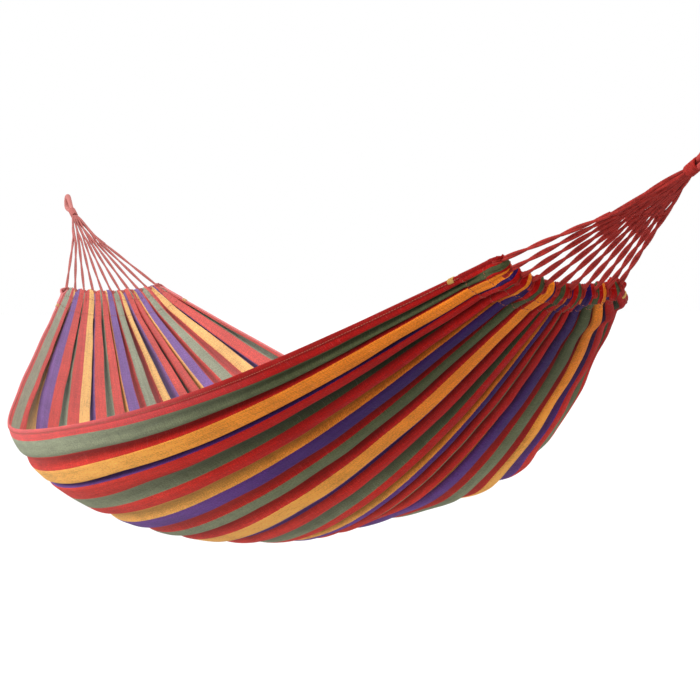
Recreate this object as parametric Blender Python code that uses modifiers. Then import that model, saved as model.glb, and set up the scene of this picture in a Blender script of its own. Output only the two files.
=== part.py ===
"""Striped fabric hammock, hung from the rope eye at each end.

Units are metres, with +Z up. The origin is where the left eye bears on its hook. +X runs to the
right eye, which bears at the same height, and -Y is the near side. The eyes stay on their hooks,
and the harnesses and the bed swing under the line through both bearing points.
"""

import math

import bmesh
import bpy
import numpy as np
from mathutils import Vector

# Overall sizes
SPAN = 2.60  # between the two bearing points
LEFT_END_X = 0.344  # the cloth's left end
RIGHT_END_X = SPAN - 0.366  # the cloth's right end
GAP = 0.0003  # between pieces that touch

# The bed's cross-section at five stations, evenly spaced from the left end to the right end
HALF_WIDTH = (0.074, 0.234, 0.299, 0.223, 0.060)
NEAR_RIM_Z = (-0.138, -0.274, -0.288, -0.226, -0.089)
FAR_RIM_Z = (-0.132, -0.272, -0.308, -0.185, -0.113)
KEEL_Z = (-0.147, -0.403, -0.421, -0.286, -0.119)
FULLNESS = (0.94, 1.16, 1.28, 1.20, 1.12)  # over 1 narrows the bottom, under 1 squares it

# Cloth and hems
CLOTH_THICKNESS = 0.003
HEM_HEIGHT = 0.012
HEM_THICKNESS = 0.004
BED_STEPS = 30  # along the length
SECTION_STEPS = 26  # across the width
ARC_SAMPLES = 96  # used to measure each cross-section

# End channels and header ropes
HEADER_RADIUS = 0.003
CHANNEL_INNER = 0.0043
CHANNEL_OUTER = 0.0070
CHANNEL_HALF_OPENING = math.radians(50)
HEADER_STEPS = 18

# Suspension cords
CORDS = 11
CORD_RADIUS = 0.0024
CORD_MARGIN = 0.02  # outermost cords, as a share of the end's width from its corners
CORD_POINTS = 6

# Harness, as distances from the bearing point along its middle line
EYE_END = 0.0400
NECK_END = 0.0640
CLEW_END = 0.1790
NECK_RADIUS = 0.0056
CLEW_HALF_WIDTH = 0.0270
CLEW_HALF_THICKNESS = 0.0042
CLEW_STEPS = 6

# Eye: a rope bent over in the plane of the harness's middle line
EYE_ROPE_RADIUS = 0.0040
EYE_BEND_RADIUS = 0.0090  # of the rope's middle line
EYE_LEG_SPREAD = 0.0032  # of each leg from the middle line, at the neck
EYE_LEG_TAPER = 0.70
EYE_STUB = 0.003  # last stretch of each leg, square to the swing axis

# Corner stitches
STITCH_WIDTH = 0.008
STITCH_THICKNESS = 0.0006
STITCH_STATION = 0.030  # from each end, as a share of the bed's length

COLLECTION = "hammock"


def material(name, colour, roughness):
    made = bpy.data.materials.new(name)
    made.use_nodes = True
    shader = made.node_tree.nodes["Principled BSDF"]
    shader.inputs["Base Color"].default_value = (*colour, 1.0)
    shader.inputs["Roughness"].default_value = roughness
    shader.inputs["Metallic"].default_value = 0.0
    made.diffuse_color = (*colour, 1.0)
    return made


def clear_scene():
    for item in list(bpy.data.objects):
        bpy.data.objects.remove(item, do_unlink=True)


def natural_spline(values):
    """A natural cubic through values at evenly spaced stations from 0 to 1."""
    values = np.array(values, float)
    count = len(values)
    step = 1.0 / (count - 1)
    matrix = np.eye(count)
    right = np.zeros(count)
    for i in range(1, count - 1):
        matrix[i, i - 1 : i + 2] = (1, 4, 1)
        right[i] = 6 * (values[i - 1] - 2 * values[i] + values[i + 1]) / step**2
    bend = np.linalg.solve(matrix, right)

    def at(station):
        i = int(min(max(station / step, 0), count - 2))
        b = station / step - i
        a = 1 - b
        straight = a * values[i] + b * values[i + 1]
        curved = (a**3 - a) * bend[i] + (b**3 - b) * bend[i + 1]
        return float(straight + curved * step**2 / 6)

    return at


half_width_at = natural_spline(HALF_WIDTH)
near_rim_at = natural_spline(NEAR_RIM_Z)
far_rim_at = natural_spline(FAR_RIM_Z)
keel_at = natural_spline(KEEL_Z)
fullness_at = natural_spline(FULLNESS)


def section(station):
    """The bed's cross-section as (shares of its length from the near rim, points)."""
    sweep = np.linspace(-1, 1, ARC_SAMPLES + 1)
    rim = (near_rim_at(station) + far_rim_at(station)) / 2
    tilt = (far_rim_at(station) - near_rim_at(station)) / 2
    dip = np.clip(np.cos(math.pi / 2 * sweep), 0, 1) ** fullness_at(station)
    y = half_width_at(station) * np.sin(math.pi / 2 * sweep)
    z = rim + tilt * sweep + (keel_at(station) - rim) * dip
    travelled = np.concatenate([[0], np.cumsum(np.hypot(np.diff(y), np.diff(z)))])
    return travelled / travelled[-1], y, z, travelled[-1]


def bed_point(station, share):
    """A point of the cloth's middle surface. share runs from 0, near rim, to 1, far rim."""
    shares, y, z, length = section(station)
    inside = min(max(share, 0), 1)
    beyond = (share - inside) * length
    x = LEFT_END_X + (RIGHT_END_X - LEFT_END_X) * station
    point = Vector((x, np.interp(inside, shares, y), np.interp(inside, shares, z)))
    if beyond:
        # Past a rim the section carries on straight.
        end, before = (0, 1) if share < 0 else (-1, -2)
        along = Vector((0, y[end] - y[before], z[end] - z[before])).normalized()
        point += along * abs(beyond)
    return point


def bed_normal(station, share):
    """The unit normal on the cloth's inner side, where a person lies."""
    step = 1e-3
    low, high = max(share - step, 0), min(share + step, 1)
    across = bed_point(station, high) - bed_point(station, low)
    first, last = max(station - step, 0), min(station + step, 1)
    along = bed_point(last, share) - bed_point(first, share)
    return along.cross(across).normalized()


def add_object(name, data, parent, finish):
    made = bpy.data.objects.new(name, data)
    data.materials.append(finish)
    bpy.data.collections[COLLECTION].objects.link(made)
    made.parent = parent
    return made


def loft(name, rings, parent, finish):
    """A closed solid through rings of points, with a flat cap on its first and last ring."""
    shape = bmesh.new()
    rows = [[shape.verts.new(point) for point in ring] for ring in rings]
    for row, following in zip(rows, rows[1:]):
        for i in range(len(row)):
            j = (i + 1) % len(row)
            shape.faces.new((row[i], row[j], following[j], following[i]))
    shape.faces.new(rows[0])
    shape.faces.new(rows[-1])
    bmesh.ops.recalc_face_normals(shape, faces=shape.faces)
    mesh = bpy.data.meshes.new(name)
    shape.to_mesh(mesh)
    shape.free()
    return add_object(name, mesh, parent, finish)


def tube(name, points, radius, parent, finish, tapers=None):
    """A round tube with flat ends along straight runs between points."""
    curve = bpy.data.curves.new(name, "CURVE")
    curve.dimensions = "3D"
    curve.bevel_depth = radius
    curve.bevel_resolution = 2
    curve.use_fill_caps = True
    run = curve.splines.new("POLY")
    run.points.add(len(points) - 1)
    for i, point in enumerate(points):
        run.points[i].co = (*point, 1)
        run.points[i].radius = tapers[i] if tapers else 1
    return add_object(name, curve, parent, finish)


def cloth_bed(parent, finish):
    """The woven sheet, from hem to hem and from end channel to end channel."""
    shape = bmesh.new()
    bmesh.ops.create_grid(shape, x_segments=BED_STEPS, y_segments=SECTION_STEPS, size=0.5)
    for vert in shape.verts:
        station = min(max(vert.co.x + 0.5, 0), 1)
        margin = HEM_HEIGHT / section(station)[3]
        share = margin + (1 - 2 * margin) * (vert.co.y + 0.5)
        vert.co = bed_point(station, share)
    mesh = bpy.data.meshes.new("cloth_bed")
    shape.to_mesh(mesh)
    shape.free()
    bed = add_object("cloth_bed", mesh, parent, finish)
    thicken = bed.modifiers.new("cloth_thickness", "SOLIDIFY")
    thicken.thickness = CLOTH_THICKNESS
    thicken.offset = 0
    mesh.shade_smooth()
    return bed


def strip_ring(station, near, low, high, thickness):
    """A flat strip's section beside one rim: low and high are depths below the rim."""
    length = section(station)[3]
    shares = [depth / length if near else 1 - depth / length for depth in (low, high)]
    normal = bed_normal(station, min(max(shares[1], 0), 1)) * thickness / 2
    rim, foot = (bed_point(station, share) for share in shares)
    return [rim - normal, rim + normal, foot + normal, foot - normal]


def side_hem(name, near, parent, finish):
    """The folded band along one long edge."""
    rings = [
        strip_ring(i / BED_STEPS, near, 0, HEM_HEIGHT - 2 * GAP, HEM_THICKNESS)
        for i in range(BED_STEPS + 1)
    ]
    return loft(name, rings, parent, finish)


def corner_stitch(name, middle, near, parent, finish):
    """Thread wound over a side hem: a saddle that stands on both faces and over the rim."""
    half = STITCH_WIDTH / 2 / (RIGHT_END_X - LEFT_END_X)
    inner = HEM_THICKNESS + 4 * GAP
    outer = inner + 2 * STITCH_THICKNESS
    foot = HEM_HEIGHT - 2 * GAP
    rings = []
    for station in (middle - half, middle + half):
        wide = strip_ring(station, near, -2 * GAP - STITCH_THICKNESS, foot, outer)
        slim = strip_ring(station, near, -2 * GAP, foot, inner)
        rings.append([wide[0], wide[1], wide[2], slim[2], slim[1], slim[0], slim[3], wide[3]])
    return loft(name, rings, parent, finish)


class Harness:
    """One end's middle line, from its bearing point down to the cloth."""

    def __init__(self, side):
        self.side = side
        self.left = side == "left"
        self.station = 0.0 if self.left else 1.0
        self.bearing = Vector((0 if self.left else SPAN, 0, 0))
        middle = (bed_point(self.station, 0) + bed_point(self.station, 1)) / 2
        middle = (middle + bed_point(self.station, 0.5)) / 2
        middle.y = 0
        self.along = (middle - self.bearing).normalized()
        self.across = Vector((0, 1, 0))
        self.up = self.along.cross(self.across).normalized()
        if self.up.z < 0:
            self.up.negate()

    def at(self, distance, sideways=0.0, lift=0.0):
        return self.bearing + self.along * distance + self.across * sideways + self.up * lift

    def header_point(self, share):
        """The header rope's middle line, just outside the cloth's end."""
        edge = bed_point(self.station, share)
        return edge + self.outward(edge) * (CHANNEL_OUTER + 2 * GAP)

    def header_run(self, share):
        """The header rope's direction, from the near side to the far side."""
        step = 0.01
        before, after = self.header_point(share - step), self.header_point(share + step)
        return (after - before).normalized()

    def outward(self, point):
        """Towards the clew, from a point of the cloth's end."""
        return (self.at(CLEW_END) - point).normalized()

    def eye(self, parent, finish):
        """The rope eye, whose two legs run on to the neck side by side."""
        centre = EYE_BEND_RADIUS - EYE_ROPE_RADIUS
        bend = [math.radians(90 + 18 * i) for i in range(11)]
        path = [
            (centre + EYE_BEND_RADIUS * math.cos(angle), EYE_BEND_RADIUS * math.sin(angle))
            for angle in bend
        ]
        legs = 6
        last = EYE_END - EYE_STUB
        for i in range(1, legs + 1):
            share = i / legs
            spread = (1 + math.cos(math.pi * share)) / 2 * (EYE_BEND_RADIUS - EYE_LEG_SPREAD)
            spread += EYE_LEG_SPREAD
            distance = centre + (last - centre) * share
            path = [(distance, spread)] + path + [(distance, -spread)]
        points = [self.at(distance, 0, lift) for distance, lift in path]
        end_x = self.at(EYE_END).x
        points = [Vector((end_x, 0, points[0].z))] + points
        points = points + [Vector((end_x, 0, points[-1].z))]
        count = len(points)
        tapers = []
        for i in range(count):
            from_end = min(i, count - 1 - i) / (legs + 1)
            tapers.append(EYE_LEG_TAPER + (1 - EYE_LEG_TAPER) * min(from_end, 1))
        name = f"{self.side}_eye_loop"
        return tube(name, points, EYE_ROPE_RADIUS, parent, finish, tapers)

    def neck(self, parent, finish):
        """The whipping that binds the eye's legs, square to the swing axis where it meets them."""
        start = self.at(EYE_END)
        face_x = start.x + (GAP if self.left else -GAP)
        step = EYE_STUB if self.left else -EYE_STUB
        points = [
            Vector((face_x, 0, start.z)),
            Vector((face_x + step, 0, start.z)),
            self.at((EYE_END + NECK_END) / 2),
            self.at(NECK_END),
        ]
        return tube(f"{self.side}_neck_whipping", points, NECK_RADIUS, parent, finish)

    def clew(self, parent, finish):
        """The flat braid that widens from the neck until the cords part."""
        rings = []
        for i in range(CLEW_STEPS + 1):
            share = i / CLEW_STEPS
            distance = NECK_END + GAP + (CLEW_END - NECK_END - 2 * GAP) * share
            wide = NECK_RADIUS + (CLEW_HALF_WIDTH - NECK_RADIUS) * share
            thick = NECK_RADIUS + (CLEW_HALF_THICKNESS - NECK_RADIUS) * share
            rings.append(
                [
                    self.at(distance, wide * math.cos(turn), thick * math.sin(turn))
                    for turn in (math.tau * k / 12 for k in range(12))
                ]
            )
        return loft(f"{self.side}_clew_braid", rings, parent, finish)

    def cord(self, number, parent, finish):
        """One taut cord from the clew's wide end to the header rope."""
        share = number / (CORDS - 1)
        slot = (CLEW_HALF_WIDTH - CORD_RADIUS) * (2 * share - 1)
        landing = CORD_MARGIN + (1 - 2 * CORD_MARGIN) * share
        header = self.header_point(landing)
        start = self.at(CLEW_END, slot)
        run = (header - start).normalized()
        # A flat end leans with its cord, so it stands off far enough for its rim to stay clear.
        start += run * (CORD_RADIUS * math.tan(run.angle(self.along)) + 2 * GAP)
        lean = abs(run.dot(self.header_run(landing)))
        clear = HEADER_RADIUS + 2 * GAP + CORD_RADIUS * lean
        end = header - run * clear / math.sqrt(1 - lean**2)
        points = [start.lerp(end, i / (CORD_POINTS - 1)) for i in range(CORD_POINTS)]
        name = f"{self.side}_cord_{number + 1:02d}"
        return tube(name, points, CORD_RADIUS, parent, finish)

    def header_rope(self, parent, finish):
        points = [self.header_point(i / HEADER_STEPS) for i in range(HEADER_STEPS + 1)]
        return tube(f"{self.side}_header_rope", points, HEADER_RADIUS, parent, finish)

    def end_channel(self, parent, finish):
        """The cloth's end folded round the header rope, open on the cords' side."""
        turns = 10
        angles = [
            CHANNEL_HALF_OPENING + (math.tau - 2 * CHANNEL_HALF_OPENING) * i / turns
            for i in range(turns + 1)
        ]
        rings = []
        for i in range(HEADER_STEPS + 1):
            share = i / HEADER_STEPS
            centre = self.header_point(share)
            run = self.header_run(share)
            out = self.outward(centre)
            out = (out - run * out.dot(run)).normalized()
            side = run.cross(out).normalized()

            def spoke(angle, radius):
                return centre + (out * math.cos(angle) + side * math.sin(angle)) * radius

            ring = [spoke(angle, CHANNEL_OUTER) for angle in angles]
            ring += [spoke(angle, CHANNEL_INNER) for angle in reversed(angles)]
            rings.append(ring)
        return loft(f"{self.side}_end_channel", rings, parent, finish)


def axis_empty(name):
    made = bpy.data.objects.new(name, None)
    bpy.data.collections[COLLECTION].objects.link(made)
    return made


def main():
    clear_scene()
    bpy.context.scene.collection.children.link(bpy.data.collections.new(COLLECTION))
    canvas = material("striped_canvas", (0.42, 0.10, 0.06), 0.9)
    band = material("red_hem", (0.36, 0.03, 0.02), 0.9)
    rope = material("red_cotton_rope", (0.30, 0.04, 0.04), 0.95)
    thread = material("yellow_thread", (0.60, 0.36, 0.12), 0.8)

    eyes = axis_empty("hanging_eyes_axis")
    bed = axis_empty("bed_swing_axis")
    cloth_bed(bed, canvas)
    for name, near in (("near", True), ("far", False)):
        side_hem(f"{name}_side_hem", near, bed, band)
        for end, middle in (("left", STITCH_STATION), ("right", 1 - STITCH_STATION)):
            corner_stitch(f"{end}_{name}_corner_stitch", middle, near, bed, thread)
    for side in ("left", "right"):
        harness = Harness(side)
        harness.eye(eyes, rope)
        harness.neck(bed, rope)
        harness.clew(bed, rope)
        harness.header_rope(bed, rope)
        harness.end_channel(bed, canvas)
        for number in range(CORDS):
            harness.cord(number, bed, rope)


main()
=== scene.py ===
import math

import bmesh
import bpy
import numpy as np
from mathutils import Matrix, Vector, noise


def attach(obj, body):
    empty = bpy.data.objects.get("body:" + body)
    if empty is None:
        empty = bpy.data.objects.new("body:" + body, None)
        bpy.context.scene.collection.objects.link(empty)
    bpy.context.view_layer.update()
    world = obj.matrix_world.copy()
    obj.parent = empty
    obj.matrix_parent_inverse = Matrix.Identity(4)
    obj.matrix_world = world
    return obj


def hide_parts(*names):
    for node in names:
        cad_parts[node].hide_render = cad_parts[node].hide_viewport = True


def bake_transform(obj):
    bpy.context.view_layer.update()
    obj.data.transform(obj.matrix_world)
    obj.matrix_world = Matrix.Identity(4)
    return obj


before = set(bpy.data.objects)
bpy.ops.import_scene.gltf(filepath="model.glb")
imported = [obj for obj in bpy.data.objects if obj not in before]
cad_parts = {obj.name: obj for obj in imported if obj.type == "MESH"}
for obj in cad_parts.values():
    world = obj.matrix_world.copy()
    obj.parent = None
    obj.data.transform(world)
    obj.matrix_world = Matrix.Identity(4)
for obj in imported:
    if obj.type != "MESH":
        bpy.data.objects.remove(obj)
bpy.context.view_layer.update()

# The bed's shape, as the CAD states it: five stations from the left end to the right end
SPAN = 2.60
LEFT_END_X = 0.344
RIGHT_END_X = SPAN - 0.366
HALF_WIDTH = (0.074, 0.234, 0.299, 0.223, 0.060)
NEAR_RIM_Z = (-0.138, -0.274, -0.288, -0.226, -0.089)
FAR_RIM_Z = (-0.132, -0.272, -0.308, -0.185, -0.113)
KEEL_Z = (-0.147, -0.403, -0.421, -0.286, -0.119)
FULLNESS = (0.94, 1.16, 1.28, 1.20, 1.12)
ARC_SAMPLES = 96

# The harness, as the CAD states it: distances from a bearing point along the middle line
EYE_END = 0.0400
NECK_END = 0.0640
CLEW_END = 0.1790
CLEW_HALF_WIDTH = 0.0270
EYE_ROPE_RADIUS = 0.0040
EYE_BEND_RADIUS = 0.0090
EYE_LEG_SPREAD = 0.0032
EYE_LEG_TAPER = 0.70
CORDS = 11
CORD_RADIUS = 0.0024
CORD_MARGIN = 0.02
HEADER_RADIUS = 0.003
HEADER_REACH = 0.0076  # the header rope's middle line stands this far outside the cloth

# The sheet before it is gathered
FLAT_WIDTH = 0.80
FLAT_LENGTH = 2.00  # between the two header ropes
STRIPES = 33
SHEET_THICKNESS = 0.0011
END_HEM = 0.045  # depth of the sleeve turned over each header rope
END_STITCH = 0.012  # where the line of stitches that closes the sleeve runs
END_HEM_STITCH = END_HEM - 0.003  # where the line that holds the turned end runs
SLEEVE_RADIUS = 0.0042  # of the sleeve where a cord pinches it
SLEEVE_TURN = math.pi * SLEEVE_RADIUS
LAYER_GAP = 1.4 * SHEET_THICKNESS  # from the sheet to its turned end, between their middles
PUFF = 0.0028  # how much further the sleeve stands out midway between two cords
TIP_PUFF = 0.0045  # the same, on the side towards the clew
RUFFLE = 0.0009  # of the small waves on the puffs
PUFF_CARRIED = 0.95  # the share of a puff with which the cloth leaves the sleeve
PUFF_RIM = 2.5  # stripes, from a rim to where the cloth carries the puffs on in full
PUFFS_END = 0.0524  # in from the cloth's end, where the puffs have died out
PITS = 3  # between two cords, where the sleeve's stitches pull the cloth in
SEAM_DEPTH = 0.0006  # of the pits
SEAM_REACH = 0.0045  # how far from the stitches this shows

# How finely the sheet is divided
COLUMNS = 9 * STRIPES
BODY_ROWS = 270
CROWDING = 0.78  # 0 spaces the rows evenly, and 1 is closest at the ends
TURNED_ROWS = 18
SLEEVE_ROWS = 11

# Folds that run along the bed. Each row: its middle and half width, in stripes from the near rim,
# and the angle of its walls, in radians, at the two stations of FOLD_STATIONS.
GROOVES = (  # seen from below, on the middle and the right end
    (1.40, 0.45, 0.00, 0.90), (2.45, 0.60, 0.75, 1.65), (4.50, 0.60, 1.60, 1.70),
    (6.45, 1.00, 0.20, 1.15), (8.40, 0.80, 0.60, 1.20), (10.5, 0.75, 0.60, 1.20),
    (12.3, 0.70, 1.00, 1.40), (14.7, 0.70, 0.95, 1.35), (16.4, 0.80, 0.55, 1.20),
    (18.3, 0.85, 1.30, 1.60), (20.1, 0.90, 1.50, 1.70), (21.9, 0.85, 1.30, 1.60),
    (23.6, 0.75, 1.40, 1.60), (25.5, 0.80, 0.50, 1.20), (27.5, 0.80, 0.50, 1.20),
    (29.4, 0.80, 0.45, 1.25), (31.4, 0.90, 0.10, 1.00),
)
CREASES = (  # seen from the lying side, on the left end
    (3.35, 1.00, 0.90, 1.75), (6.50, 0.60, 0.50, 1.50), (9.45, 0.60, 0.50, 1.75),
    (11.5, 0.60, 0.20, 1.20), (13.45, 0.65, 0.50, 1.75), (15.5, 0.60, 0.20, 1.20),
    (17.5, 0.70, 0.20, 1.10), (19.3, 0.70, 0.40, 1.20), (21.5, 0.80, 0.90, 1.70),
    (23.4, 0.60, 0.50, 1.70), (25.5, 0.60, 0.10, 1.00), (27.6, 0.60, 0.10, 0.70),
    (29.5, 0.60, 0.50, 1.75), (31.5, 0.60, 0.10, 1.30),
)
FOLD_STATIONS = {"grooves": (0.5, 0.85), "creases": (0.30, 0.10)}
CREASES_TO_GROOVES = (0.15, 0.35)  # the stations between which one set gives way to the other
FOLDS_GROW = (0.002, 0.057)  # in from the cloth's end, where folds begin and where they are full
MOST_FOLDED = 1.8  # radians, of any wall of cloth
UNDULATION = 0.0012  # metres, of the small waves on the whole sheet
DEEPEST = 0.014  # metres, of a fold

# Shares of the cloth's width that roll up at its rims, too finely to be modelled
ROLLED_RIGHT = 0.30  # both rims, toward the right end
ROLLED_NEAR = 0.50  # the near rim's first stripe, toward the left end
SPREAD_NEAR = 0.15  # the two stripes beside it lie this much wider there
ROLLED_FAR = 0.65  # the far rim's last stripe, at the left end

# Where the cloth hangs in or out from the smooth surface. Each row: a station and a place in
# stripes, how far it spreads both ways, and how far in it is.
HANGS = (
    (0.73, 33, 0.060, 7, 0.0045), (0.945, 33, 0.030, 8, -0.0085),
    (0.555, 30.5, 0.040, 4, -0.0085), (0.51, 23.5, 0.060, 3, 0.0085),
)

SIDES = ("left", "right")
BED = "bed"


# ---------------------------------------------------------------- shapes

def natural_spline(values):
    """A natural cubic through values at evenly spaced stations from 0 to 1."""
    values = np.array(values, float)
    count = len(values)
    step = 1.0 / (count - 1)
    matrix = np.eye(count)
    right = np.zeros(count)
    for i in range(1, count - 1):
        matrix[i, i - 1 : i + 2] = (1, 4, 1)
        right[i] = 6 * (values[i - 1] - 2 * values[i] + values[i + 1]) / step**2
    bend = np.linalg.solve(matrix, right)

    def at(station):
        i = int(min(max(station / step, 0), count - 2))
        b = station / step - i
        a = 1 - b
        straight = a * values[i] + b * values[i + 1]
        curved = (a**3 - a) * bend[i] + (b**3 - b) * bend[i + 1]
        return float(straight + curved * step**2 / 6)

    return at


half_width_at = natural_spline(HALF_WIDTH)
near_rim_at = natural_spline(NEAR_RIM_Z)
far_rim_at = natural_spline(FAR_RIM_Z)
keel_at = natural_spline(KEEL_Z)
fullness_at = natural_spline(FULLNESS)


def ramp(value, start, end):
    """A smooth rise from 0 at start to 1 at end, which may be the lesser of the two."""
    part = np.clip((value - start) / (end - start), 0, 1)
    return part * part * (3 - 2 * part)


def unit(vectors):
    return vectors / np.maximum(np.linalg.norm(vectors, axis=-1, keepdims=True), 1e-12)


def travelled_along(points):
    """The distance along a path at each of its points."""
    return np.concatenate([[0], np.cumsum(np.linalg.norm(np.diff(points, axis=0), axis=1))])


def points_at(distances, travelled, points):
    """Points of a path at distances along it, where travelled holds its own points' distances."""
    return np.stack([np.interp(distances, travelled, points[:, k]) for k in range(3)], axis=-1)


def section(station):
    """The bed's cross-section: shares of its length from the near rim, y, z and the length."""
    sweep = np.linspace(-1, 1, ARC_SAMPLES + 1)
    rim = (near_rim_at(station) + far_rim_at(station)) / 2
    tilt = (far_rim_at(station) - near_rim_at(station)) / 2
    dip = np.clip(np.cos(math.pi / 2 * sweep), 0, 1) ** fullness_at(station)
    y = half_width_at(station) * np.sin(math.pi / 2 * sweep)
    z = rim + tilt * sweep + (keel_at(station) - rim) * dip
    travelled = np.concatenate([[0], np.cumsum(np.hypot(np.diff(y), np.diff(z)))])
    return travelled / travelled[-1], y, z, travelled[-1]


def bed_points(station, share):
    """Points of the bed's smooth middle surface, for an array of shares across it."""
    shares, y, z, _ = section(station)
    x = np.full(len(share), LEFT_END_X + (RIGHT_END_X - LEFT_END_X) * station)
    return np.stack([x, np.interp(share, shares, y), np.interp(share, shares, z)], axis=1)


def bed_normals(station, share):
    """Unit normals on the side where a person lies."""
    step = 1e-3
    across = bed_points(station, np.minimum(share + step, 1))
    across = across - bed_points(station, np.maximum(share - step, 0))
    first, last = max(station - step, 0), min(station + step, 1)
    along = bed_points(last, share) - bed_points(first, share)
    return unit(np.cross(along, across))


def mesh_object(name, points, faces, finish, flat=None, closed=False):
    """A smooth-shaded mesh object. flat holds each point's place on the uncut material."""
    mesh = bpy.data.meshes.new(name)
    mesh.from_pydata([tuple(p) for p in points], [], faces)
    if flat is not None:
        layer = mesh.uv_layers.new(name="flat")
        corners = np.zeros(len(mesh.loops), np.int32)
        mesh.loops.foreach_get("vertex_index", corners)
        layer.data.foreach_set("uv", np.asarray(flat, np.float32)[corners].ravel())
    if closed:
        shape = bmesh.new()
        shape.from_mesh(mesh)
        bmesh.ops.recalc_face_normals(shape, faces=shape.faces)
        shape.to_mesh(mesh)
        shape.free()
    mesh.shade_smooth()
    mesh.materials.append(finish)
    made = bpy.data.objects.new(name, mesh)
    bpy.context.scene.collection.objects.link(made)
    return made


class Pile:
    """Several swept shapes that become one mesh object."""

    def __init__(self):
        self.points, self.faces, self.flat, self.count = [], [], [], 0

    def add(self, points, faces, flat):
        self.points.append(np.asarray(points, float))
        self.flat.append(np.asarray(flat, float))
        self.faces += [tuple(i + self.count for i in face) for face in faces]
        self.count += len(points)

    def build(self, name, finish):
        return mesh_object(name, np.vstack(self.points), self.faces, finish,
                           np.vstack(self.flat))


def frames_along(points):
    """Two unit vectors across a path at each of its points, turning as little as they can."""
    tangent = unit(np.gradient(points, axis=0))
    side = np.cross(tangent[0], (0.0, 0.0, 1.0))
    if np.linalg.norm(side) < 0.1:
        side = np.cross(tangent[0], (0.0, 1.0, 0.0))
    first = np.zeros_like(points)
    first[0] = unit(side)
    for i in range(1, len(points)):
        first[i] = unit(first[i - 1] - tangent[i] * (first[i - 1] @ tangent[i]))
    return first, np.cross(tangent, first)


def ring_faces(rings, around):
    """The quads between rings of points, each with a point after the other round it."""
    return [
        (i * around + j, i * around + (j + 1) % around, (i + 1) * around + (j + 1) % around,
         (i + 1) * around + j)
        for i in range(rings - 1) for j in range(around)
    ]


def tube(pile, points, radius, around, plies=0, pitch=1.0, relief=0.0, phase=0.0):
    """Adds a closed tube along points. plies ridges wind round it once in each pitch."""
    points = np.asarray(points, float)
    count = len(points)
    radius = np.broadcast_to(np.asarray(radius, float), (count,))
    first, second = frames_along(points)
    travelled = travelled_along(points)
    angle = np.arange(around) * math.tau / around
    size = np.tile(radius[:, None], (1, around))
    if plies:
        wind = plies * (angle[None, :] - math.tau * travelled[:, None] / pitch) + phase
        size = size * (1 - relief + relief * np.abs(np.cos(wind / 2)))
    ring = (
        points[:, None, :]
        + first[:, None, :] * (np.cos(angle)[None, :] * size)[..., None]
        + second[:, None, :] * (np.sin(angle)[None, :] * size)[..., None]
    )
    flat = np.stack(
        [np.tile(angle / math.tau, (count, 1)), np.tile(travelled[:, None], (1, around))],
        axis=-1,
    )
    last = (count - 1) * around
    faces = ring_faces(count, around)
    faces.append(tuple(reversed(range(around))))
    faces.append(tuple(last + j for j in range(around)))
    pile.add(ring.reshape(-1, 3), faces, flat.reshape(-1, 2))


def spaced(points, step):
    """The path again, with a point about every step."""
    points = np.asarray(points, float)
    travelled = travelled_along(points)
    count = max(2, int(round(travelled[-1] / step)) + 1)
    return points_at(np.linspace(0, travelled[-1], count), travelled, points)


def smooth_path(points, step):
    """A Catmull-Rom curve through points, with a point about every step."""
    points = np.asarray(points, float)
    padded = np.vstack([2 * points[0] - points[1], points, 2 * points[-1] - points[-2]])
    dense = []
    for i in range(1, len(padded) - 2):
        before, start, end, after = padded[i - 1 : i + 3]
        for t in np.linspace(0, 1, 12, endpoint=False):
            dense.append(
                0.5 * (2 * start + (end - before) * t
                       + (2 * before - 5 * start + 4 * end - after) * t**2
                       + (3 * start - before - 3 * end + after) * t**3)
            )
    dense.append(points[-1])
    return spaced(dense, step)


# ---------------------------------------------------------------- the sheet

def fold_waves(stripes, station, name, rows):
    """Angles of the cloth across its folds: each fold is one wave, as a bent sheet takes up."""
    first, last = FOLD_STATIONS[name]
    along = (station - first) / (last - first)
    angles = np.zeros(len(stripes))
    for middle, half, wall, wall_last in rows:
        steep = min(max(wall + (wall_last - wall) * along, 0), MOST_FOLDED)
        angles += steep * np.sin(math.pi * np.clip((stripes - middle) / half, -1, 1))
    return angles


def gathered(station, stripes):
    """(shares of the bed's section, inward displacement) of the sheet across one station."""
    rightness = ramp(station, *CREASES_TO_GROOVES)
    angles = (1 - rightness) * fold_waves(stripes, station, "creases", CREASES)
    angles -= rightness * fold_waves(stripes, station, "grooves", GROOVES)
    step = FLAT_WIDTH / (len(stripes) - 1)
    middle = (angles[1:] + angles[:-1]) / 2
    place = stripes[1:]
    from_rim = np.minimum(place, STRIPES - place)
    rolled = ROLLED_RIGHT * ramp(station, 0.4, 0.8) * (1 - ramp(from_rim, 0.6, 1.4))
    near_rim = ROLLED_NEAR * (place < 1) - SPREAD_NEAR * (abs(place - 2) < 1)
    rolled = rolled + ramp(station, 0.85, 0.55) * near_rim
    far_rim = ROLLED_FAR * ramp(station, 0.45, 0.25) * ramp(place, 31.6, 32.1)
    rolled = np.maximum(rolled, far_rim)
    shares = np.concatenate([[0], np.cumsum(np.cos(middle) * (1 - rolled))])
    lift = np.concatenate([[0], np.cumsum(np.sin(middle))]) * step
    shares /= shares[-1]
    lift -= lift[-1] * shares
    return shares, DEEPEST * np.tanh(lift / DEEPEST)


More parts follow.
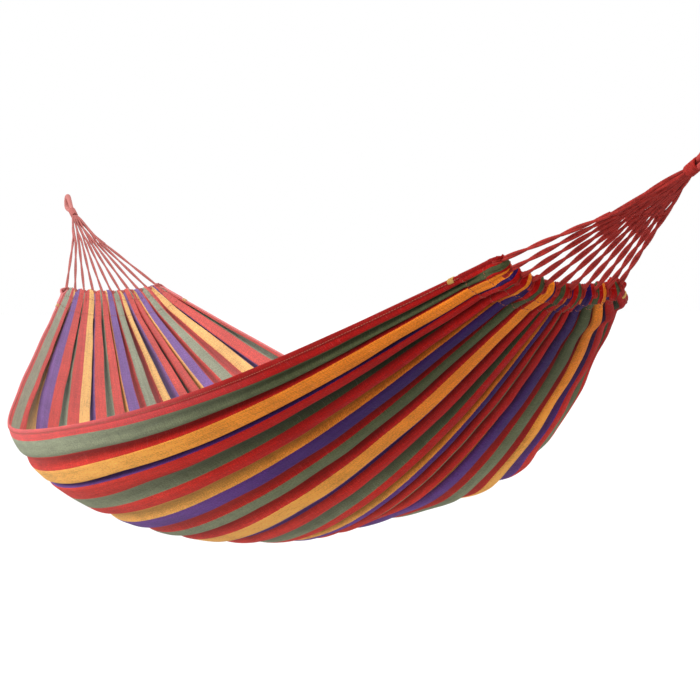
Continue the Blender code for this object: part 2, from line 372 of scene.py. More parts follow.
class Harness:
    """One end's middle line, from its bearing point down to the cloth."""

    def __init__(self, side):
        self.left = side == "left"
        self.station = 0.0 if self.left else 1.0
        self.bearing = np.array((0.0 if self.left else SPAN, 0.0, 0.0))
        ends = bed_points(self.station, np.array((0.0, 1.0, 0.5)))
        middle = ((ends[0] + ends[1]) / 2 + ends[2]) / 2
        middle[1] = 0
        self.along = unit(middle - self.bearing)
        self.across = np.array((0.0, 1.0, 0.0))
        self.up = unit(np.cross(self.along, self.across))
        if self.up[2] < 0:
            self.up = -self.up

    def at(self, distance, sideways=0.0, lift=0.0):
        return self.bearing + self.along * distance + self.across * sideways + self.up * lift

    def header(self, share):
        """The header rope's middle line, for an array of shares across the cloth's end."""
        edge = bed_points(self.station, np.clip(share, 0, 1))
        shares, y, z, length = section(self.station)
        beyond = (share - np.clip(share, 0, 1)) * length
        near = unit(np.array((0.0, y[0] - y[1], z[0] - z[1])))
        far = unit(np.array((0.0, y[-1] - y[-2], z[-1] - z[-2])))
        edge = edge + np.where(beyond < 0, -beyond, 0)[:, None] * near
        edge = edge + np.where(beyond > 0, beyond, 0)[:, None] * far
        return edge + self.outward(edge) * HEADER_REACH

    def outward(self, points):
        """Towards the clew, from points of the cloth's end."""
        return unit(self.at(CLEW_END) - points)


HARNESS = {side: Harness(side) for side in SIDES}


def cord_number(share):
    """The place along a header rope as a cord's number: whole at each cord, from 0 to 10."""
    return (share - CORD_MARGIN) / (1 - 2 * CORD_MARGIN) * (CORDS - 1)


def sleeve_sizes(harness, share):
    """How far the sleeve stands out round the header rope: on its faces and at its tip."""
    number = cord_number(share)
    puff = (0.5 - 0.5 * np.cos(math.tau * number)) ** 0.7
    ruffle = RUFFLE * np.sin(math.tau * 4 * number) * puff
    # Each puff is a little larger or smaller than the next
    uneven = np.array([
        noise.noise(Vector((n * 1.3, harness.station * 5, 2.2))) for n in number
    ])
    puff = puff * (1 + 0.8 * uneven)
    return SLEEVE_RADIUS + PUFF * puff + ruffle, SLEEVE_RADIUS + TIP_PUFF * puff


def sheet_row(station, stripes, turned=False):
    """(points, crease depth) across one station, of the sheet or of its turned end."""
    harness = HARNESS["left" if station < 0.5 else "right"]
    shares, lift = gathered(station, stripes)
    points = bed_points(station, shares)
    normals = bed_normals(station, shares)
    from_end = min(station, 1 - station) * (RIGHT_END_X - LEFT_END_X)
    sleeve, _ = sleeve_sizes(harness, shares)
    grown = ramp(from_end, *FOLDS_GROW)
    puffed = 1 - ramp(from_end, -HEADER_REACH, PUFFS_END)
    opened = 1 - ramp(from_end, -HEADER_REACH, END_STITCH)
    body = ramp(np.minimum(stripes, STRIPES - stripes), 0, PUFF_RIM)
    away = lift * grown + PUFF_CARRIED * puffed * body * (sleeve if harness.left else -sleeve)
    pits = 0.5 - 0.5 * np.cos(math.tau * PITS * cord_number(shares))
    from_seam = (from_end - END_STITCH) / SEAM_REACH
    away = away - SEAM_DEPTH * pits * math.exp(-from_seam * from_seam)
    away = away + drawn_in(station, stripes)
    if turned:
        away = (1 - opened) * (away - LAYER_GAP) - opened * sleeve
    else:
        away = (1 - opened) * away + opened * sleeve
    return points + normals * away[:, None], np.abs(lift) / DEEPEST * grown


def drawn_in(station, stripes):
    """How far in from the smooth surface the cloth hangs, across one station."""
    total = np.zeros(len(stripes))
    for middle, stripe, spread, wide, amount in HANGS:
        apart = ((station - middle) / spread) ** 2 + ((stripes - stripe) / wide) ** 2
        total += amount * np.exp(-apart)
    return total


def sleeve_row(harness, stripes, angle):
    """Points of the sheet where it wraps the header rope, at an angle from its tip."""
    shares, _ = gathered(harness.station, stripes)
    centre = harness.header(shares)
    normals = bed_normals(harness.station, shares)
    out = harness.outward(centre)
    sleeve, tip = sleeve_sizes(harness, shares)
    reach = sleeve * math.sin(angle) ** 2 + tip * math.cos(angle) ** 2
    return centre + (normals * math.sin(angle) + out * math.cos(angle)) * reach[:, None]


def sheet_rows():
    """The rows of the sheet, hem to hem: points, crease depth and distance along the cloth."""
    stripes = np.linspace(0, STRIPES, COLUMNS + 1)
    length = RIGHT_END_X - LEFT_END_X
    smooth = np.zeros(len(stripes))
    ends = []
    for side in SIDES:
        harness = HARNESS[side]
        turned = []
        for share in np.linspace(1, 0.02, TURNED_ROWS):
            depth = END_HEM * share**1.3
            station = depth / length if harness.left else 1 - depth / length
            turned.append((*sheet_row(station, stripes, turned=True), -SLEEVE_TURN - depth))
        for angle in np.linspace(-80, 80, SLEEVE_ROWS):
            turned.append((sleeve_row(harness, stripes, math.radians(angle)), smooth,
                           -SLEEVE_TURN * (90 - angle) / 180))
        if not harness.left:
            turned = [(points, deep, FLAT_LENGTH - flat) for points, deep, flat in turned[::-1]]
        ends.append(turned)
    stations = np.linspace(0, 1, BODY_ROWS)
    stations = stations - CROWDING * np.sin(math.tau * stations) / math.tau
    body = [(*sheet_row(float(s), stripes), float(s) * FLAT_LENGTH) for s in stations[1:-1]]
    return ends[0] + body + ends[1], stripes


def grid_faces(rows, columns):
    return [
        (i * columns + j, i * columns + j + 1, (i + 1) * columns + j + 1, (i + 1) * columns + j)
        for i in range(rows - 1) for j in range(columns - 1)
    ]


def grid_normals(grid):
    along = np.gradient(grid, axis=0)
    across = np.gradient(grid, axis=1)
    return unit(np.cross(along, across))


def soften(grid):
    """Small undulations, long along the bed and short across it, that no fold accounts for."""
    finer = np.array((5.0, 24.0, 24.0))
    amount = np.array([[noise.noise(Vector(point * finer)) for point in row] for row in grid])
    return grid + grid_normals(grid) * (amount * UNDULATION)[..., None]


def canvas_sheet(finish):
    """The sheet itself; its grid of points and their places on the flat cloth are given back."""
    rows, stripes = sheet_rows()
    grid = soften(np.array([row[0] for row in rows]))
    flat = np.array([[(k / STRIPES * FLAT_WIDTH, row[2]) for k in stripes] for row in rows])
    made = mesh_object("canvas_sheet", grid.reshape(-1, 3), grid_faces(*grid.shape[:2]), finish,
                       flat.reshape(-1, 2))
    # The fold depth, which the canvas's shader turns into painted shade in creases and a painted
    # highlight on ridges
    creased = made.data.attributes.new("crease", "FLOAT", "POINT")
    creased.data.foreach_set("value", np.array([row[1] for row in rows], np.float32).ravel())
    thicken = made.modifiers.new("thickness", "SOLIDIFY")
    thicken.thickness = SHEET_THICKNESS
    thicken.offset = 0
    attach(made, BED)
    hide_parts("cloth_bed", "left_end_channel", "right_end_channel")
    return grid, flat


# ---------------------------------------------------------------- hems and stitching

HEM_SECTION = (  # in from the rim, and out from the cloth's middle
    (0.0122, -0.00075), (0.0089, -0.0011), (0.0085, -0.00095), (0.0081, -0.00115),
    (0.004, -0.00145), (0.001, -0.0013), (-0.0006, -0.0008), (-0.001, 0.0), (-0.0006, 0.0008),
    (0.001, 0.0013), (0.004, 0.00145), (0.0081, 0.00115), (0.0085, 0.00095), (0.0089, 0.0011),
    (0.0122, 0.00075), (0.0126, 0.0),
)
HEM_LAP = 0.015  # how far apart the hem's two faces lie on the flat cloth
HEM_STITCH = 0.0085  # in from the rim
HEM_HALF_THICKNESS = 0.00105  # at its line of stitches
UNSTITCHED_ROWS = 20  # of the sheet at each end, where the hem is inside the turned end
STITCH_RADIUS = 0.00034
BARTACK_STATION = 0.030
BARTACK_WIDTH = 0.0075
BARTACK_TURNS = 8
BARTACK_THREAD = 0.0006


def rim_points(grid, near, reach, out):
    """Points along the sheet a distance in from a rim, standing out from the cloth."""
    count = grid.shape[1]
    column = max(reach, 0) / FLAT_WIDTH * (count - 1)
    first = int(column)
    part = column - first
    order = (first, first + 1) if near else (count - 1 - first, count - 2 - first)
    base = grid[:, order[0]] * (1 - part) + grid[:, order[1]] * part
    rim = grid[:, 0] if near else grid[:, -1]
    inside = grid[:, 3] if near else grid[:, -4]
    inward = unit(inside - rim)
    along = unit(np.gradient(rim, axis=0))
    normal = unit(np.cross(along, inward)) * (1 if near else -1)
    return base + inward * min(reach, 0) + normal * out, normal


def hem(name, grid, near, finish):
    """The folded edge of the sheet, with a groove where its stitches run."""
    rings = np.stack([rim_points(grid, near, u, v)[0] for u, v in HEM_SECTION], axis=1)
    rows, around = rings.shape[:2]
    flat = np.zeros((rows, around, 2))
    flat[:, :, 0] = np.array([u + (HEM_LAP if v > 0 else 0) for u, v in HEM_SECTION])
    flat[:, :, 1] = travelled_along(grid[:, 0 if near else -1])[:, None]
    faces = ring_faces(rows, around)
    faces += [tuple(range(around)), tuple((rows - 1) * around + j for j in range(around))]
    made = mesh_object(f"{name}_band", rings.reshape(-1, 3), faces, finish, flat.reshape(-1, 2),
                       closed=True)
    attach(made, BED)
    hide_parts(name)


def stitches(pile, line, normals, spacing=0.0046, size=0.0032):
    """Adds a row of short raised stitches along a line on the cloth."""
    around = 6
    angle = np.arange(around) * math.tau / around
    travelled = travelled_along(line)
    for middle in np.arange(spacing / 2, travelled[-1] - spacing / 2, spacing):
        at = middle + np.array((-0.5, -0.32, 0.32, 0.5)) * size
        path = points_at(at, travelled, line)
        normal = unit(points_at(middle, travelled, normals))
        path += normal * np.array((-0.4, 0.25, 0.25, -0.4))[:, None] * STITCH_RADIUS * 2
        side = np.cross(unit(path[3] - path[0]), normal)
        ring = (side * np.cos(angle)[:, None] + normal * np.sin(angle)[:, None]) * STITCH_RADIUS
        flat = np.stack([np.tile(angle / math.tau, len(path)), np.repeat(at, around)], axis=1)
        pile.add((path[:, None, :] + ring[None, :, :]).reshape(-1, 3),
                 ring_faces(len(path), around), flat)


def hem_stitching(name, grid, near, finish):
    pile = Pile()
    body = grid[UNSTITCHED_ROWS:-UNSTITCHED_ROWS]
    for way in (-1, 1):
        line, normal = rim_points(body, near, HEM_STITCH, way * HEM_HALF_THICKNESS)
        stitches(pile, line, normal * way)
    made = pile.build(name, finish)
    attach(made, BED)


def end_stitching(side, grid, flat, finish):
    """The lines that close the sleeve and hold the turned end, on both faces of the cloth."""
    left = side == "left"
    distance = flat[:, 0, 1] if left else FLAT_LENGTH - flat[:, 0, 1]
    normals = grid_normals(grid)
    half = slice(0, len(grid) // 2) if left else slice(len(grid) // 2, len(grid))
    rows = np.arange(len(grid))[half]
    length_share = FLAT_LENGTH / (RIGHT_END_X - LEFT_END_X)
    inset = slice(6, -6)  # columns: the lines stop short of the rims
    pile = Pile()
    for depth in (END_STITCH, END_HEM_STITCH):
        inner = rows[np.argmin(np.abs(distance[half] - depth * length_share))]
        outer = rows[np.argmin(np.abs(distance[half] + SLEEVE_TURN + depth))]
        for row, facing in ((outer, -1), (inner, 1)):
            normal = normals[inner, inset] * facing
            stitches(pile, grid[row, inset] + normal * 0.0007, normal, spacing=0.0036, size=0.0024)
    made = pile.build(f"{side}_end_stitching", finish)
    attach(made, BED)


def bartack(side, near, grid, finish):
    """Thread wound round the hem near the sheet's corner."""
    share = BARTACK_STATION if side == "left" else 1 - BARTACK_STATION
    x = LEFT_END_X + share * (RIGHT_END_X - LEFT_END_X)
    body = grid[UNSTITCHED_ROWS:-UNSTITCHED_ROWS]
    rim = body[:, 0 if near else -1, 0]
    outside = 0.00025  # how far the thread runs outside the hem
    outline = [(u + (outside if u > 0.005 else -outside), v * 1.25) for u, v in HEM_SECTION]
    rings = np.stack([rim_points(body, near, u, v)[0] for u, v in outline], axis=1)
    count = BARTACK_TURNS * len(outline)
    path = []
    for i in range(count):
        row = float(np.interp(x + BARTACK_WIDTH * (i / count - 0.5), rim, np.arange(len(rim))))
        low = int(row)
        ring = rings[low] * (1 - row + low) + rings[low + 1] * (row - low)
        path.append(ring[i % len(outline)])
    pile = Pile()
    tube(pile, smooth_path(path, 0.0012), BARTACK_THREAD, around=7)
    name = f"{side}_{'near' if near else 'far'}_corner_stitch"
    made = pile.build(name + "_thread", finish)
    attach(made, BED)
    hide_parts(name)


# ---------------------------------------------------------------- cords, clews and eyes

YARN_RADIUS = 0.00142
YARN_OFFSET = 0.00115  # from the cord's middle line
YARN_PITCH = 0.007
YARN_TURN = 2.4  # radians, between the ways that neighbouring cords start to wind
TWIST = {"left": 0.180, "right": 0.116}  # length in which a cord's yarns wind once round each other
SNUG = {"left": 0.60, "right": 1.0}  # how far apart a cord's yarns lie, as a share of the offset
CORD_STEP = 0.0016  # between the rings of a yarn
CORD_LANDING = SLEEVE_RADIUS + 0.0022  # from a header rope's middle line to a cord's end
CLEW_TIP_HALF_WIDTH = 0.0038
HITCH_GAP = 0.0013  # from the cord's landing to each of its two turns round the sleeve
HITCH_RADIUS = SLEEVE_RADIUS + 0.0017  # of a turn's middle line
HITCH_STEP = 0.0011


def yarn_pair(pile, path, side, phase, offset=YARN_OFFSET, radius=YARN_RADIUS):
    """Two three-ply yarns that run side by side along a path, slowly winding round each other."""
    path = np.asarray(path, float)
    first, second = frames_along(path)
    turn = math.tau * travelled_along(path) / TWIST[side] + phase
    offset = np.broadcast_to(offset, (len(path),)) * SNUG[side]
    across = first * np.cos(turn)[:, None] + second * np.sin(turn)[:, None]
    for way in (-1, 1):
        tube(pile, path + across * (way * offset)[:, None], radius, 8, plies=3,
             pitch=YARN_PITCH, relief=0.10, phase=phase * way)


def landing(number):
    """Where a cord meets the header rope, as a share across the cloth's end."""
    return CORD_MARGIN + (1 - 2 * CORD_MARGIN) * number / (CORDS - 1)


def harness_cord(side, number, finish):
    harness = HARNESS[side]
    start = harness.at(CLEW_END, (CLEW_HALF_WIDTH - CORD_RADIUS) * (2 * number / (CORDS - 1) - 1))
    header = harness.header(np.array([landing(number)]))[0]
    end = header - unit(header - start) * CORD_LANDING
    pile = Pile()
    yarn_pair(pile, spaced([start, end], CORD_STEP), side,
              phase=YARN_TURN * number + (0.5 if harness.left else 1.3))
    name = f"{side}_cord_{number + 1:02d}"
    made = pile.build(name + "_yarns", finish)
    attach(made, BED)
    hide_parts(name)


def hitches(side, finish):
    """Where each cord holds the sheet: two turns round the sleeve, crossed by a third."""
    harness = HARNESS[side]
    pile = Pile()
    for number in range(CORDS):
        place = landing(number)
        before, centre, after = harness.header(np.array((place - 0.005, place, place + 0.005)))
        run = unit(after - before)
        out = harness.outward(centre)
        out = unit(out - run * (out @ run))
        up = np.cross(run, out)
        for way in (-1, 1):
            ring = [
                centre + run * way * HITCH_GAP * abs(math.cos(a / 2))
                + (out * math.cos(a) + up * math.sin(a)) * HITCH_RADIUS
                for a in np.linspace(0, math.tau, 25)
            ]
            tube(pile, spaced(ring, HITCH_STEP), 0.00125, 7, plies=3, pitch=YARN_PITCH, relief=0.2,
                 phase=number)
        bar = [
            centre + out * (SLEEVE_RADIUS + 0.0024 - 0.0022 * t * t) + run * 0.0042 * t
            + up * 0.0012 * math.sin(2.5 * t)
            for t in np.linspace(-1, 1, 9)
        ]
        tube(pile, spaced(bar, HITCH_STEP), 0.0014, 8, plies=3, pitch=YARN_PITCH, relief=0.2)
    made = pile.build(f"{side}_cord_hitches", finish)
    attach(made, BED)


def header_rope(side, finish):
    pile = Pile()
    path = spaced(HARNESS[side].header(np.linspace(-0.012, 1.012, 61)), 0.0011)
    tube(pile, path, HEADER_RADIUS, 14, plies=3, pitch=0.016, relief=0.28)
    made = pile.build(f"{side}_header_rope_strands", finish)
    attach(made, BED)
    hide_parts(f"{side}_header_rope")


def clew(side, finish):
    """Eleven doubled strands, which come together in two layers; the left ones pair up."""
    harness = HARNESS[side]
    spread = CLEW_HALF_WIDTH - CORD_RADIUS - CLEW_TIP_HALF_WIDTH
    pile = Pile()
    for number in range(CORDS):
        pair = min(number // 2, 4)
        middle = 9 if pair == 4 else 2 * pair + 0.5
        layer = math.pi * number  # strands lie in turn above and below the middle
        path, offsets, sizes = [], [], []
        for distance in np.arange(CLEW_END, NECK_END - 0.006, -CORD_STEP):
            share = max((distance - NECK_END) / (CLEW_END - NECK_END), 0)
            bunched = 0.7 * ramp(share, 1, 0.6) if harness.left else 0
            spot = 2 * (number + (middle - number) * bunched) / (CORDS - 1) - 1
            crossed = math.sin(math.pi * min(share, 1)) ** 0.8
            sideways = (CLEW_TIP_HALF_WIDTH + spread * share) * spot
            sideways += 0.0004 * crossed * math.sin(9 * share + 2 * number)
            lift = 0.0012 * crossed * math.cos(layer + 3 * share)
            lift += 0.0010 * (1 - share) * math.cos(layer + 2 * share)
            path.append(harness.at(distance, sideways, lift))
            offsets.append(YARN_OFFSET * (0.30 + 0.70 * share))
            sizes.append(YARN_RADIUS * (0.85 + 0.15 * min(share / 0.12, 1)))
        yarn_pair(pile, path, side, phase=YARN_TURN * number + 0.5, offset=np.array(offsets),
                  radius=np.array(sizes))
    made = pile.build(f"{side}_clew_strands", finish)
    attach(made, BED)
    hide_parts(f"{side}_clew_braid")


def neck_whipping(side, finish):
    """Cord wound tightly round the eye's legs and the clew's tip."""
    harness = HARNESS[side]
    pitch, thread, ring = 0.00250, 0.00125, 0.00445
    steps = 24  # in each turn
    turns = (NECK_END - EYE_END - 2 * thread) / pitch
    path = []
    for i in range(int(turns * steps) + 1):
        angle = i / steps * math.tau
        distance = EYE_END + thread + pitch * i / steps
        path.append(harness.at(distance, ring * math.cos(angle), ring * math.sin(angle)))
    pile = Pile()
    tube(pile, path, thread, 8, plies=2, pitch=0.006, relief=0.15)
    made = pile.build(f"{side}_neck_windings", finish)
    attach(made, BED)
    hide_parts(f"{side}_neck_whipping")


def eye_loop(side, finish):
    """A rope eye served with cord."""
    harness = HARNESS[side]
    centre = EYE_BEND_RADIUS - EYE_ROPE_RADIUS
    half = []  # distance, lift and size: round the bend, down a leg and into the neck
    for i in range(6):
        angle = math.radians(180 - 18 * i)
        half.append((centre + EYE_BEND_RADIUS * math.cos(angle),
                     EYE_BEND_RADIUS * math.sin(angle), 1.0))
    for share in np.linspace(0, 1, 7)[1:]:
        spread = (1 + math.cos(math.pi * share)) / 2 * (EYE_BEND_RADIUS - EYE_LEG_SPREAD)
        half.append((centre + (EYE_END - centre) * share, EYE_LEG_SPREAD + spread,
                     1 - (1 - EYE_LEG_TAPER) * share))
    half.append((EYE_END + 0.005, 0.0017, 0.38))
    half.append((EYE_END + 0.012, 0.0015, 0.36))
    whole = half[:0:-1] + [(distance, -lift, size) for distance, lift, size in half]
    points = np.array([harness.at(distance, 0, lift) for distance, lift, _ in whole])
    path = smooth_path(points, 0.00045)
    given = travelled_along(points)
    size = np.interp(np.linspace(0, given[-1], len(path)), given, [size for _, _, size in whole])
    pile = Pile()
    tube(pile, path, EYE_ROPE_RADIUS * size, 16, plies=1, pitch=0.0021, relief=0.10)
    made = pile.build(f"{side}_eye_rope", finish)
    tuple(harness.at(0.010))
    tuple(harness.at(EYE_END))
    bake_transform(made)
    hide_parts(f"{side}_eye_loop")


# ---------------------------------------------------------------- materials

RED, GREEN = (0.52, 0.027, 0.016), (0.190, 0.205, 0.120)
OCHRE, PURPLE = (0.80, 0.38, 0.080), (0.118, 0.042, 0.210)
WEAVE_REPEAT = 0.0011  # metres


def node(tree, kind, inputs=(), **settings):
    """A new shader node; inputs holds (socket, value or another node's socket) pairs."""
    made = tree.nodes.new(kind)
    for name, value in settings.items():
        setattr(made, name, value)
    for socket, value in inputs:
        if isinstance(value, bpy.types.NodeSocket):
            tree.links.new(value, made.inputs[socket])
        else:
            made.inputs[socket].default_value = value
    return made


def arithmetic(tree, operation, *values):
    return node(tree, "ShaderNodeMath", enumerate(values), operation=operation).outputs[0]


def map_range(tree, value, start, end, first=0.0, last=1.0, kind="LINEAR"):
    """The value, carried from between start and end to between first and last."""
    return node(tree, "ShaderNodeMapRange",
                ((0, value), (1, start), (2, end), (3, first), (4, last)),
                interpolation_type=kind).outputs[0]


def mix_colours(tree, share, first, second):
    return node(tree, "ShaderNodeMix", ((0, share), (6, first), (7, second)),
                data_type="RGBA").outputs[2]


def noise_texture(tree, place, scale, detail):
    return node(tree, "ShaderNodeTexNoise",
                (("Vector", place), ("Scale", scale), ("Detail", detail))).outputs[0]


def cloth_shader(name, roughness, sheen, sheen_tint):
    made = bpy.data.materials.new(name)
    made.use_nodes = True
    tree = made.node_tree
    shader = tree.nodes["Principled BSDF"]
    shader.inputs["Roughness"].default_value = roughness
    shader.inputs["Specular IOR Level"].default_value = 0.15
    shader.inputs["Sheen Weight"].default_value = sheen
    shader.inputs["Sheen Roughness"].default_value = 0.5
    shader.inputs["Sheen Tint"].default_value = (*sheen_tint, 1)
    return made, tree, shader


def stretched_noise(tree, place, across, along):
    """Noise in the cloth's own plane, with its own scale each way."""
    turned = node(tree, "ShaderNodeMapping", ((0, place), (3, (across, along, 1.0))))
    return noise_texture(tree, turned.outputs[0], 1.0, 2.0)


def raise_surface(tree, shader, height, strength, distance):
    bump = node(tree, "ShaderNodeBump",
                (("Height", height), ("Strength", strength), ("Distance", distance)))
    tree.links.new(bump.outputs[0], shader.inputs["Normal"])


def stripe_colours(tree, across):
    """The five stripes of a repeat: red, green, red, ochre and purple."""
    turns = arithmetic(tree, "MULTIPLY", across, STRIPES / FLAT_WIDTH / 5)
    ramp_node = node(tree, "ShaderNodeValToRGB", (("Fac", arithmetic(tree, "FRACT", turns)),))
    ramp_node.color_ramp.interpolation = "CONSTANT"
    stops = ramp_node.color_ramp.elements
    stops[0].position, stops[0].color = 0, (*RED, 1)
    stops[1].position, stops[1].color = 0.8, (*PURPLE, 1)
    for position, colour in ((0.2, GREEN), (0.4, RED), (0.6, OCHRE)):
        stops.new(position).color = (*colour, 1)
    return ramp_node.outputs["Color"]


def canvas_finish(name="striped_canvas", plain=None):
    """Heathered plain-weave canvas; plain is a colour where the cloth has no stripes."""
    made, tree, shader = cloth_shader(name, 0.92, 0.02, (1.0, 0.88, 0.84))
    place = node(tree, "ShaderNodeUVMap", uv_map="flat").outputs["UV"]
    split = node(tree, "ShaderNodeSeparateXYZ", ((0, place),))
    across, along = split.outputs["X"], split.outputs["Y"]
    warp = stretched_noise(tree, place, 900.0, 28.0)
    weft = stretched_noise(tree, place, 40.0, 800.0)
    blotch = noise_texture(tree, place, 14.0, 3.0)
    streak = stretched_noise(tree, place, 120.0, 3.0)
    if plain is None:
        # The stripes' edges are feathered by the weft
        feather = arithmetic(tree, "MULTIPLY", arithmetic(tree, "SUBTRACT", weft, 0.5), 0.0022)
        colour = stripe_colours(tree, arithmetic(tree, "ADD", across, feather))
    else:
        colour = node(tree, "ShaderNodeRGB").outputs[0]
        colour.default_value = (*plain, 1)
    # Threads, slubs and washed streaks vary the brightness
    thread = arithmetic(tree, "MULTIPLY_ADD", arithmetic(tree, "ADD", warp, weft), 0.75, 0.25)
    patch = arithmetic(tree, "MULTIPLY_ADD", arithmetic(tree, "ADD", blotch, streak), 0.55, 0.45)
    grain = map_range(tree, noise_texture(tree, place, 420.0, 1.0), 0.38, 0.62, 0.83, 1.17)
    bright = arithmetic(tree, "MULTIPLY", arithmetic(tree, "MULTIPLY", thread, patch), grain)
    # Painted light: ridges get a painted highlight and creases get painted shade, set by each fold's
    # depth
    crease = node(tree, "ShaderNodeAttribute", attribute_name="crease").outputs["Fac"]
    bright = arithmetic(tree, "MULTIPLY", bright, map_range(tree, crease, 0.08, 0.8, 1.26, 0.26))
    # Painted highlight: toward the left end, the near rim and the hems are painted brighter and
    # paler, where their rolled edge catches the light
    rim = arithmetic(tree, "MULTIPLY", map_range(tree, across, 0.014, 0.065, 1.0, 0.0),
                     map_range(tree, along, 1.35, 1.65, 1.0, 0.0))
    bright = arithmetic(tree, "MULTIPLY", bright, arithmetic(tree, "MULTIPLY_ADD", rim, 0.30, 1.0))
    # Painted light: the colour is painted lighter toward the brightly lit left end, and deeper and
    # darker toward the right end as painted shade
    light = map_range(tree, along, 0.3, 1.0, 0.78, 1.0, "SMOOTHSTEP")
    deep = map_range(tree, along, 1.1, 1.8, 1.0, 1.8, "SMOOTHSTEP")
    depth = arithmetic(tree, "MULTIPLY", light, deep)
    colour = node(tree, "ShaderNodeGamma", ((0, colour), (1, depth))).outputs[0]
    shade = node(tree, "ShaderNodeVectorMath", ((0, colour), ("Scale", bright)), operation="SCALE")
    # Painted light: the left end, and the rim's painted highlight, are mixed toward a pale grey as if
    # brightly lit; undyed fibres show as paler flecks
    left_end_painted_light = map_range(tree, along, 0.0, 1.35, 0.13, 0.0, "SMOOTHSTEP")
    flecks = arithmetic(tree, "MULTIPLY", map_range(tree, weft, 0.62, 0.78), 0.10)
    paler = arithmetic(tree, "ADD", arithmetic(tree, "ADD", flecks, left_end_painted_light),
                       arithmetic(tree, "MULTIPLY", rim, 0.12))
    mixed = mix_colours(tree, paler, shade.outputs[0], (0.58, 0.60, 0.66, 1))
    tree.links.new(mixed, shader.inputs["Base Color"])
    # Plain weave
    rib = arithmetic(tree, "SINE", arithmetic(tree, "MULTIPLY", across, math.tau / WEAVE_REPEAT))
    rib_along = arithmetic(tree, "SINE", arithmetic(tree, "MULTIPLY", along, math.tau / WEAVE_REPEAT))
    weave = arithmetic(tree, "MULTIPLY", rib, rib_along)
    height = arithmetic(tree, "ADD", arithmetic(tree, "MULTIPLY", weave, 0.35), thread)
    raise_surface(tree, shader, height, 0.55, 0.0005)
    return made


def yarn_finish(name, colour, dark, sheen=0.06, painted_light_share=0.35):
    """Soft spun cotton: fibres wind round the strand, and the shade varies along it."""
    made, tree, shader = cloth_shader(name, 0.95, sheen, (1.0, 0.80, 0.76))
    where = node(tree, "ShaderNodeTexCoord").outputs["Object"]
    mottle = noise_texture(tree, where, 160.0, 3.0)
    fibre = noise_texture(tree, where, 1500.0, 2.0)
    amount = arithmetic(tree, "ADD", arithmetic(tree, "MULTIPLY", mottle, 0.7),
                        arithmetic(tree, "MULTIPLY", fibre, 0.5))
    mixed = mix_colours(tree, map_range(tree, amount, 0.35, 0.85), (*dark, 1), (*colour, 1))
    # Painted light: the left end is painted paler, as if more brightly lit, by the share given
    far = node(tree, "ShaderNodeSeparateXYZ", ((0, where),)).outputs["X"]
    left_end_painted_light = map_range(tree, far, 0.0, SPAN / 2, painted_light_share, 0.0)
    pale = mix_colours(tree, left_end_painted_light, mixed, (0.85, 0.46, 0.42, 1))
    tree.links.new(pale, shader.inputs["Base Color"])
    # Fibres, slanted round the strand
    place = node(tree, "ShaderNodeUVMap", uv_map="flat").outputs["UV"]
    split = node(tree, "ShaderNodeSeparateXYZ", ((0, place),))
    wound = arithmetic(tree, "ADD", arithmetic(tree, "MULTIPLY", split.outputs["X"], 24.0),
                       arithmetic(tree, "MULTIPLY", split.outputs["Y"], 2600.0))
    strands = arithmetic(tree, "MULTIPLY", arithmetic(tree, "SINE", wound), 0.3)
    raise_surface(tree, shader, arithmetic(tree, "ADD", fibre, strands), 0.6, 0.0004)
    return made


# ---------------------------------------------------------------- camera, light and floor

CAMERA_PLACE = (4.901, -0.980, -0.086)
CAMERA_AZIMUTH = math.radians(73.58)
CAMERA_ELEVATION = math.radians(1.709)
CAMERA_LENS = 162.43  # mm, on a 36 mm wide frame
FLOOR_Z = -0.95
FILL_ABOVE, FILL_BELOW = 1.15, 0.68
KEY_STRENGTH = 1.4
KEY_DIRECTION = (0.30, 0.90, -0.28)
KEY_SOFTNESS = math.radians(22)
FLOOR_HALF_WIDTH = 40


def add_camera():
    made = bpy.data.objects.new("camera", bpy.data.cameras.new("camera"))
    bpy.context.scene.collection.objects.link(made)
    made.data.lens = CAMERA_LENS
    made.data.sensor_width = 36
    made.location = CAMERA_PLACE
    look = Vector((
        -math.sin(CAMERA_AZIMUTH) * math.cos(CAMERA_ELEVATION),
        math.cos(CAMERA_AZIMUTH) * math.cos(CAMERA_ELEVATION),
        -math.sin(CAMERA_ELEVATION),
    ))
    made.rotation_euler = look.to_track_quat("-Z", "Y").to_euler()
    bpy.context.scene.camera = made


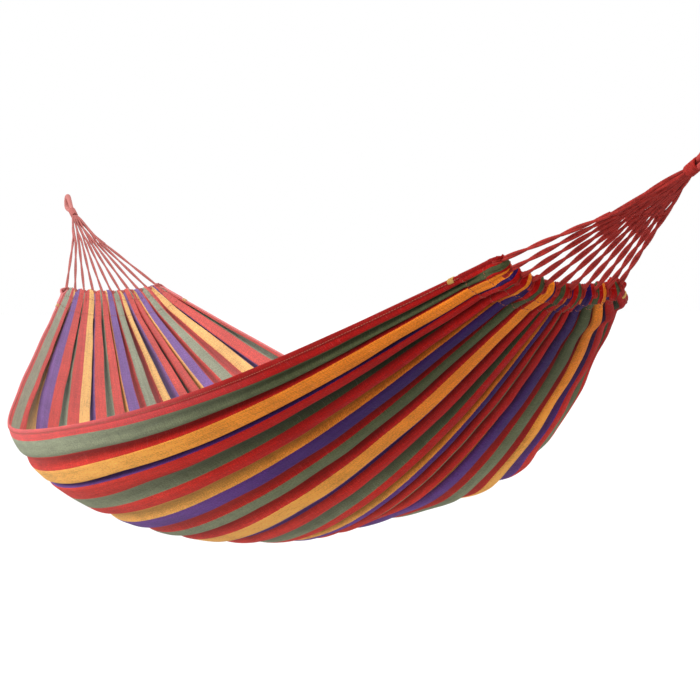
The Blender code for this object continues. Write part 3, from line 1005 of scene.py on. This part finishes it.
def add_light():
    """White behind the object, a soft fill that is weaker from below, and a soft key light."""
    world = bpy.data.worlds.new("studio")
    bpy.context.scene.world = world
    world.use_nodes = True
    tree = world.node_tree
    fill = tree.nodes["Background"]
    towards = node(tree, "ShaderNodeTexCoord").outputs["Generated"]
    height = node(tree, "ShaderNodeSeparateXYZ", ((0, towards),)).outputs["Z"]
    level = map_range(tree, height, -0.6, 0.7, FILL_BELOW, FILL_ABOVE)
    tree.links.new(level, fill.inputs["Strength"])
    white = node(tree, "ShaderNodeBackground", (("Color", (1, 1, 1, 1)), ("Strength", 1.0)))
    seen = node(tree, "ShaderNodeLightPath").outputs["Is Camera Ray"]
    both = node(tree, "ShaderNodeMixShader", ((0, seen), (1, fill.outputs[0]),
                                              (2, white.outputs[0])))
    fill.inputs["Color"].default_value = (1, 1, 1, 1)
    tree.links.new(both.outputs[0], tree.nodes["World Output"].inputs["Surface"])
    key = bpy.data.objects.new("key_light", bpy.data.lights.new("key_light", "SUN"))
    key.data.energy = KEY_STRENGTH
    key.data.angle = KEY_SOFTNESS
    key.rotation_euler = Vector(KEY_DIRECTION).to_track_quat("-Z", "Y").to_euler()
    bpy.context.scene.collection.objects.link(key)
    bpy.context.scene.view_settings.view_transform = "Standard"


def add_floor():
    made, tree, shader = cloth_shader("pale_floor", 0.9, 0.0, (1, 1, 1))
    shader.inputs["Base Color"].default_value = (0.9, 0.9, 0.9, 1)
    corners = [(x * FLOOR_HALF_WIDTH, y * FLOOR_HALF_WIDTH, FLOOR_Z)
               for x, y in ((-1, -1), (1, -1), (1, 1), (-1, 1))]
    floor = mesh_object("floor", corners, [(0, 1, 2, 3)], made)
    floor.visible_diffuse = False  # its bounce is in the fill light already


# ---------------------------------------------------------------- everything

add_camera()
add_light()
add_floor()
sheet_grid, sheet_flat = canvas_sheet(canvas_finish())
hem_finish = canvas_finish("side_hem", plain=(0.46, 0.040, 0.032))
cord_finish = yarn_finish("cotton_cord", (0.54, 0.034, 0.024), (0.20, 0.009, 0.007))
whipping_finish = yarn_finish("whipping_cord", (0.58, 0.040, 0.030), (0.26, 0.014, 0.011), painted_light_share=0.4)
eye_finish = yarn_finish("eye_rope", (0.58, 0.070, 0.060), (0.30, 0.025, 0.020), painted_light_share=0.45)
rope_finish = yarn_finish("header_rope", (0.42, 0.050, 0.045), (0.20, 0.020, 0.018))
thread_finish = yarn_finish("bartack_thread", (0.80, 0.50, 0.16), (0.50, 0.26, 0.06), sheen=0.02)
seam_finish = yarn_finish("seam_thread", (0.52, 0.170, 0.110), (0.34, 0.090, 0.060), sheen=0.02)
for near, rim in ((True, "near"), (False, "far")):
    hem(f"{rim}_side_hem", sheet_grid, near, hem_finish)
    hem_stitching(f"{rim}_hem_stitching", sheet_grid, near, seam_finish)
for side in SIDES:
    for near in (True, False):
        bartack(side, near, sheet_grid, thread_finish)
    end_stitching(side, sheet_grid, sheet_flat, seam_finish)
    header_rope(side, rope_finish)
    hitches(side, cord_finish)
    for number in range(CORDS):
        harness_cord(side, number, cord_finish)
    clew(side, cord_finish)
    neck_whipping(side, whipping_finish)
    eye_loop(side, eye_finish)
